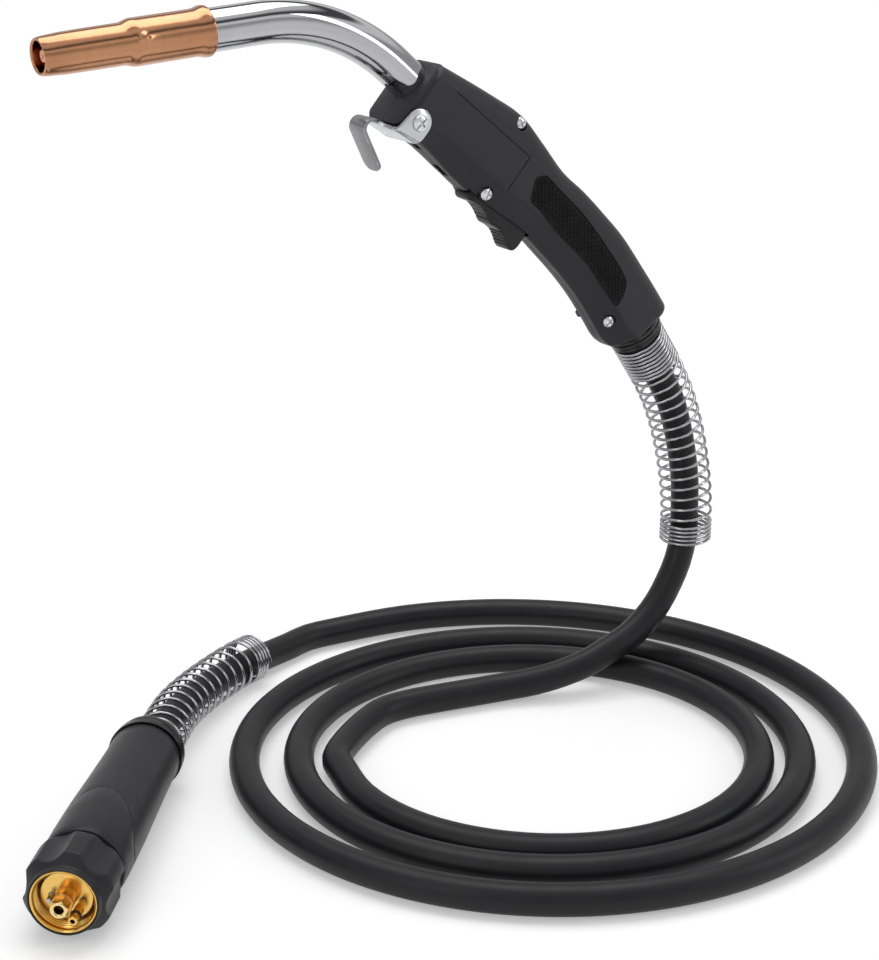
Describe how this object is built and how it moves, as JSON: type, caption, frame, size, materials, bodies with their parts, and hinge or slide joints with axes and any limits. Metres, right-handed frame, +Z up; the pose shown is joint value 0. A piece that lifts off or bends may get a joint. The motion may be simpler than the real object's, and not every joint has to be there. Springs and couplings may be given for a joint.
{
  "type": "mig welding torch",
  "caption": "Hand welding torch with a curved neck, pistol handle with trigger and hanger hook, coiled power cable and a screw-on machine connector.",
  "frame": {"origin": "middle of the hand grip, on the plane that splits the handle into its two shells", "axes": "+X from the nozzle back along the torch, +Y to the right of someone who holds the handle and looks along the torch towards the nozzle, square to the plane of the neck, +Z up"},
  "size_m": [0.4458, 0.339, 0.3759],
  "materials": {
    "copper": "satin copper, lightly brushed round",
    "fibre": "glass fibre tube",
    "brass": "turned brass",
    "polished": "polished stainless tube",
    "neck_sleeve": "insulating sleeve",
    "steel": "zinc plated",
    "hook_steel": "satin strip",
    "spring_steel": "bright spring wire",
    "cable": "smooth rubber jacket",
    "handle_plastic": "fine textured moulding",
    "grip_rubber": "diamond knurled",
    "trigger_plastic": "fine textured moulding",
    "red_plastic": "smooth",
    "lead_skin": "smooth wire insulation",
    "bush_rubber": "smooth",
    "connector_plastic": "fine textured moulding",
    "ceramic": "insulating sleeve",
    "silver_pin": "silver plated"
  },
  "bodies": {
    "torch": {"nozzle_insulator": "fibre", "gas_diffuser": "brass", "contact_tip": "copper", "neck_jacket": "polished", "neck_insulation": "neck_sleeve", "neck_conductor": "copper", "wire_liner": "steel", "neck_nut": "brass", "cable_joint": "brass", "cable_inner": "cable", "handle_left": "handle_plastic", "handle_right": "handle_plastic", "grip_pad_left": "grip_rubber", "grip_pad_right": "grip_rubber", "handle_screws": "steel", "handle_nuts": "steel", "hanger_hook": "hook_steel", "hook_screw": "steel", "trigger_pin": "steel", "trigger_switch": "trigger_plastic", "switch_leads": "lead_skin", "cable_bush": "bush_rubber", "handle_spring": "spring_steel", "cable_rise": "cable", "cable_coil": "cable", "cable_lead": "cable", "connector_spring": "spring_steel", "connector_bush": "bush_rubber", "connector_housing": "connector_plastic", "connector_sleeve": "connector_plastic", "collar_circlip": "steel", "connector_block": "brass", "plug_pin": "brass", "liner_nut": "brass", "gas_pin": "brass", "gas_seal": "bush_rubber", "signal_sleeves": "ceramic"},
    "nozzle": {"nozzle": "copper"},
    "trigger": {"trigger": "trigger_plastic"},
    "plunger": {"switch_plunger": "red_plastic"},
    "collar": {"collar_nut": "connector_plastic", "collar_thread": "brass"},
    "signal_a": {"signal_pin_a": "silver_pin"},
    "signal_b": {"signal_pin_b": "silver_pin"}
  },
  "joints": [
    {"name": "trigger_pivot", "type": "hinge", "parent": "torch", "child": "trigger", "pos_m": [-0.0493, 0, 0.019], "axis": [0, -1, 0], "range_deg": [0, 4], "stiffness_Nm_per_rad": 1.2, "springref_deg": -2.86},
    {"name": "switch_press", "type": "slide", "parent": "torch", "child": "plunger", "axis": [0.5621, 0, 0.8271], "range_m": [0, 0.0014]},
    {"name": "nozzle_pull", "type": "slide", "parent": "torch", "child": "nozzle", "axis": [-0.9981, 0, -0.061], "range_m": [0, 0.04]},
    {"name": "collar_spin", "type": "hinge", "parent": "torch", "child": "collar", "pos_m": [-0.30751, -0.06607, -0.2412], "axis": [-0.6625, -0.7488, 0.0209], "continuous": true},
    {"name": "signal_a_press", "type": "slide", "parent": "torch", "child": "signal_a", "axis": [0.6625, 0.7488, -0.0209], "range_m": [0, 0.003], "stiffness_N_per_m": 500, "springref_m": -0.002},
    {"name": "signal_b_press", "type": "slide", "parent": "torch", "child": "signal_b", "axis": [0.6625, 0.7488, -0.0209], "range_m": [0, 0.003], "stiffness_N_per_m": 500, "springref_m": -0.002}
  ],
  "couplings": [
    {"joint": "switch_press", "follows": "trigger_pivot", "m_per_rad": 0.018}
  ]
}
